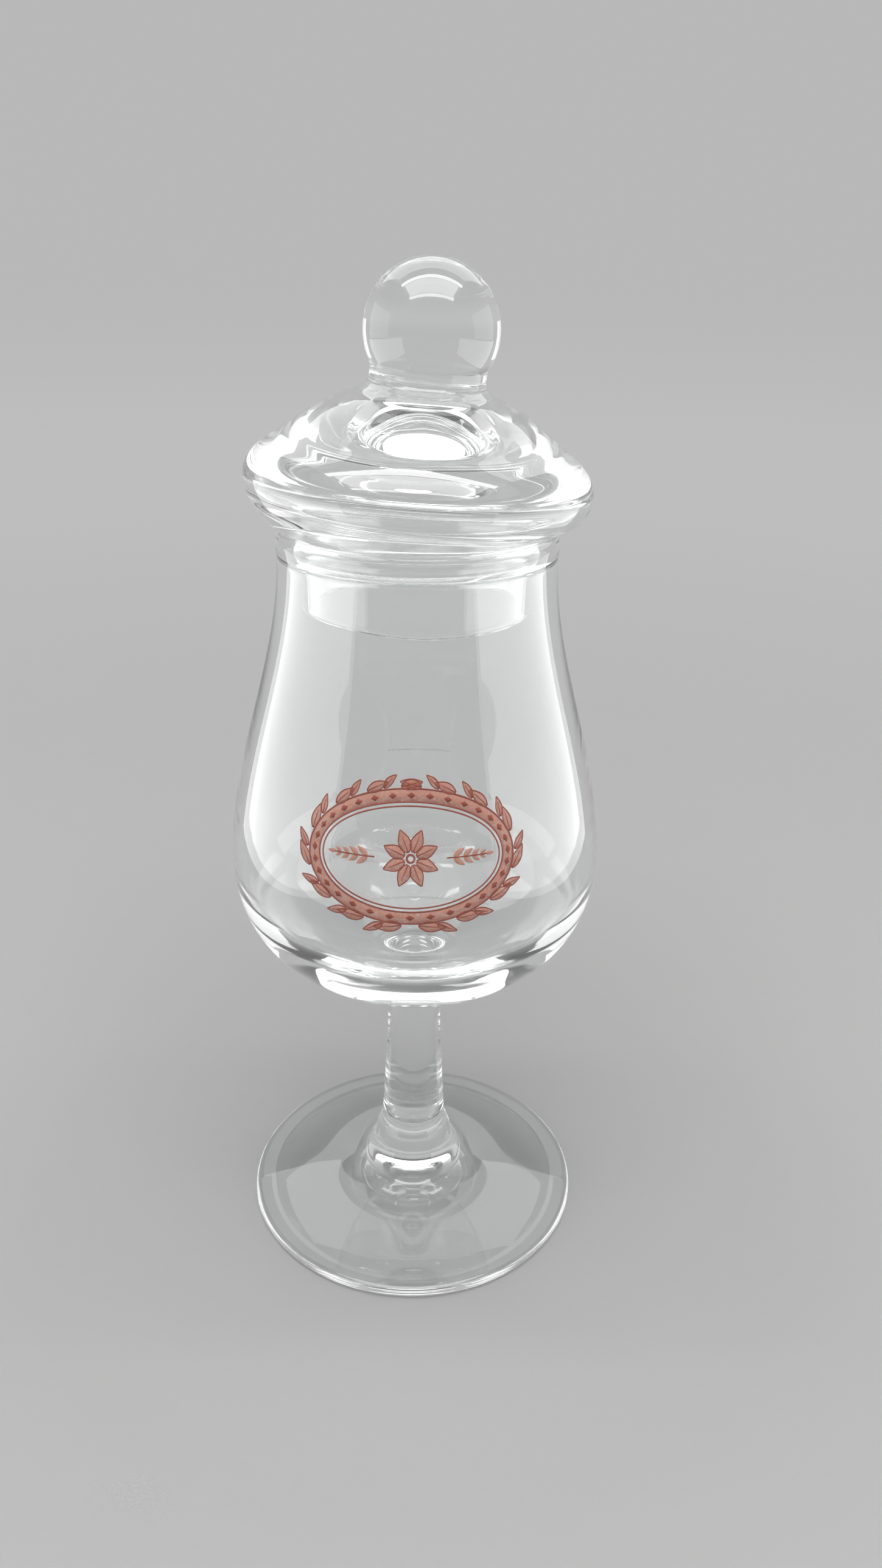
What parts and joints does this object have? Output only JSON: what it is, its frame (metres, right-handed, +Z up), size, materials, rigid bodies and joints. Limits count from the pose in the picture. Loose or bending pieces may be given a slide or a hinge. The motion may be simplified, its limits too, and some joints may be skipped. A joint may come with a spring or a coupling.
{
  "type": "covered schnapps glass",
  "caption": "Small clear stemmed glass with a tulip bowl, closed by a hollow glass lid with a ball knob that lifts straight off.",
  "frame": {"origin": "centre of the ring that the foot stands on, on the table", "axes": "+Z up along the axis of the glass, through the middle of the lid's knob; +X and +Y lie in the table, and the printed side of the bowl faces -Y"},
  "size_m": [0.0522, 0.0522, 0.1398],
  "materials": {
    "stemware_glass": "clear, colourless, fire polished",
    "lid_glass": "clear, colourless, fire polished"
  },
  "bodies": {
    "glass": {"foot": "stemware_glass", "stem": "stemware_glass", "bowl": "stemware_glass"},
    "lid": {"lid_shell": "lid_glass", "lid_knob": "lid_glass"}
  },
  "joints": [
    {"name": "lid_lift", "type": "slide", "parent": "glass", "child": "lid", "axis": [0, 0, 1], "range_m": [0, 0.04]}
  ]
}
